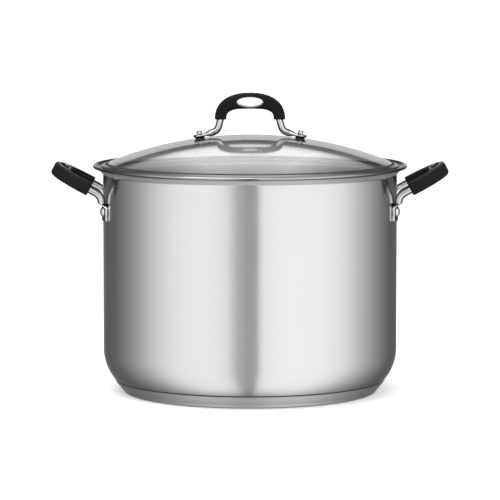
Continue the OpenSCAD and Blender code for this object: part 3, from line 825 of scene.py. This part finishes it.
# ------------------------------------------------------------------ stage
me = bpy.data.meshes.new("floor")
me.from_pydata([(-30, -30, 0), (30, -30, 0), (30, 30, 0), (-30, 30, 0)], [], [(0, 1, 2, 3)])
floor = bpy.data.objects.new("floor", me)
bpy.context.scene.collection.objects.link(floor)
m, nt, b = new_mat("pale_floor")
tc = node(nt, "ShaderNodeTexCoord")
n = noise(nt, tc.outputs["Object"], 2.0, 2.0, 0.5)
nt.links.new(ramp(nt, n, [(0.3, (0.96, 0.96, 0.96)), (0.7, (0.98, 0.98, 0.98))]), b.inputs["Base Color"])
b.inputs["Roughness"].default_value = 0.9
b.inputs["Specular IOR Level"].default_value = 0.1
me.materials.append(m)
floor.visible_glossy = False
floor.visible_transmission = False

# studio surround: two wide soft panels either side of a dim gap, and pale above and below
world = bpy.data.worlds.new("studio")
bpy.context.scene.world = world
world.use_nodes = True
nt = world.node_tree
nt.nodes.clear()
out = nt.nodes.new("ShaderNodeOutputWorld")
bg = nt.nodes.new("ShaderNodeBackground")
nt.links.new(bg.outputs[0], out.inputs[0])
tc = node(nt, "ShaderNodeTexCoord")
sep = node(nt, "ShaderNodeSeparateXYZ")
nt.links.new(tc.outputs["Generated"], sep.inputs[0])
az = math_node(nt, "ARCTAN2", sep.outputs[0], math_node(nt, "MULTIPLY", sep.outputs[1], -1.0))
fac = math_node(nt, "ADD", math_node(nt, "MULTIPLY", az, 1 / (2 * math.pi)), 0.5)
PANELS = [(-180, .14), (-163, .14), (-150, .095), (-131, .125), (-118, .20), (-106.8, .30), (-96.9, .41), (-87.9, .54), (-79.5, .68), (-71.6, .80),
          (-64, .88), (-56.9, .95), (-36.5, 1.0), (-23.5, .95), (-17.2, .85), (-10.9, .51), (-4.7, .40), (1.6, .34), (6.3, .295), (7.3, .95),
          (20.4, 1.02), (33, 1.06), (60, 1.03), (75.5, .90), (83.6, .80), (92.3, .62), (101.7, .48), (112.2, .34), (124.4, .215), (139.9, .11),
          (161, .10), (180, .14)]
panel = ramp(nt, fac, [((a + 180) / 360, (v, v, v * 1.003)) for a, v in PANELS])
elev = math_node(nt, "ARCSINE", sep.outputs[2])
efac = math_node(nt, "ADD", math_node(nt, "MULTIPLY", elev, 1 / math.pi), 0.5)


def by_height(stops):
    return ramp(nt, efac, [((e + 90) / 180, v if isinstance(v, tuple) else (v, v, v)) for e, v in stops])


def mix(f, a, b, how="MIX"):
    n = nt.nodes.new("ShaderNodeMix")
    n.data_type = "RGBA"
    n.blend_type = how
    sock = [i for i in n.inputs if i.type == "RGBA"]
    for i, v in ((n.inputs["Factor"], f), (sock[0], a), (sock[1], b)):
        if isinstance(v, (int, float, tuple)):
            i.default_value = v
        else:
            nt.links.new(v, i)
    return [o for o in n.outputs if o.type == "RGBA"][0]


# the panels stand on a pale sweep that falls off into the pot's own shade straight below
low = by_height([(-90, .16), (-83, .30), (-76, .58), (-70, .84), (-62, .98), (-50, 1.0), (90, 1.0)])
front = mix(1.0, panel, low, "MULTIPLY")
front = mix(map_range(nt, elev, 0.0, 1.0, lo=rad(34), hi=rad(56)), front, (0.72, 0.72, 0.74, 1))
# behind the pot: a pale backdrop with a dark gap above it, then the bright ceiling
back = by_height([(-90, .25), (-30, .45), (-12, .66), (0, .62), (12.5, .58), (14.8, .50), (15.5, .003), (20.8, .003), (21.8, .70), (25, 1.45),
                  (30, 1.85), (40, 1.75), (48, 1.2), (58, .60), (70, .62), (90, .7)])
rear = map_range(nt, math_node(nt, "ABSOLUTE", az), 0.0, 1.0, lo=rad(166), hi=rad(173))
glossy = mix(rear, front, back)
# looking down through clear glass, the pale sweep shows through it
clear = mix(map_range(nt, elev, 0.0, 1.0, lo=rad(-8.5), hi=rad(-12)), glossy, (1.25, 1.25, 1.25, 1))
lp = node(nt, "ShaderNodeLightPath")
seen = mix(lp.outputs["Is Glossy Ray"], (1.5, 1.5, 1.5, 1), glossy)
seen = mix(lp.outputs["Is Transmission Ray"], seen, clear)
nt.links.new(seen, bg.inputs["Color"])

key = bpy.data.lights.new("key", "AREA")
key.shape = "RECTANGLE"
key.size, key.size_y = 1.6, 1.2
key.energy = 14
ko = bpy.data.objects.new("key", key)
ko.location = (-0.5, -0.9, 1.9)
ko.rotation_euler = (Vector((0, 0, 0.15)) - Vector(ko.location)).to_track_quat("-Z", "Y").to_euler()
bpy.context.scene.collection.objects.link(ko)

cam = bpy.data.cameras.new("cam")
co = bpy.data.objects.new("cam", cam)
co.location = (0, -3.815, 0.565)
co.rotation_euler = (Vector((0, 0, 0.155)) - Vector(co.location)).to_track_quat("-Z", "Y").to_euler()
cam.sensor_width = 36
cam.lens = 251.7
cam.clip_end = 100
bpy.context.scene.collection.objects.link(co)
bpy.context.scene.camera = co
bpy.context.scene.view_settings.view_transform = "Standard"
bpy.context.scene.view_settings.look = "None"
